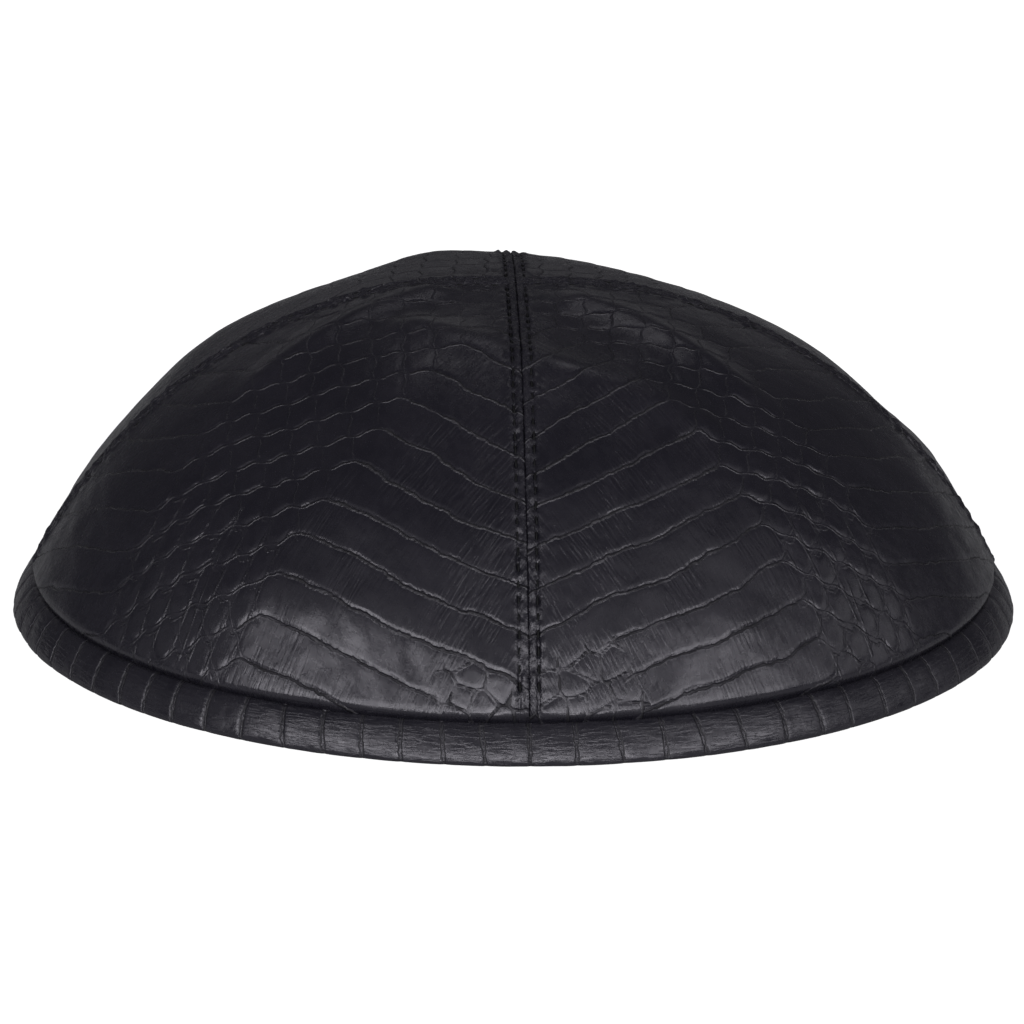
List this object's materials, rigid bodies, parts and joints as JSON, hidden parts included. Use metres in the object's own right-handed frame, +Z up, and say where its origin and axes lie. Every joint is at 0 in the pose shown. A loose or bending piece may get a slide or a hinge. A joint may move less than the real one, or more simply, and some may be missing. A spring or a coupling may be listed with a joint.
{
  "type": "kippah skullcap",
  "caption": "Shallow domed snakeskin leather skullcap, sewn from gores that meet at the crown, with a folded leather binding round the rim.",
  "frame": {"origin": "centre of the rim, on the surface that the cap rests on", "axes": "+Z up through the crown; -Y towards the front seam, which faces the picture's camera; +X to the viewer's right"},
  "size_m": [0.1754, 0.1754, 0.0594],
  "materials": {
    "gore_leather": "glossy black snakeskin leather with wide belly scales along the seams and small diamond scales between",
    "binding_leather": "satin black snakeskin leather strip, ribbed across by its belly scales"
  },
  "bodies": {
    "root": {"gore_front_left": "gore_leather", "gore_front_right": "gore_leather", "gore_back_left": "gore_leather", "gore_back_right": "gore_leather", "edge_binding": "binding_leather"}
  },
  "joints": []
}
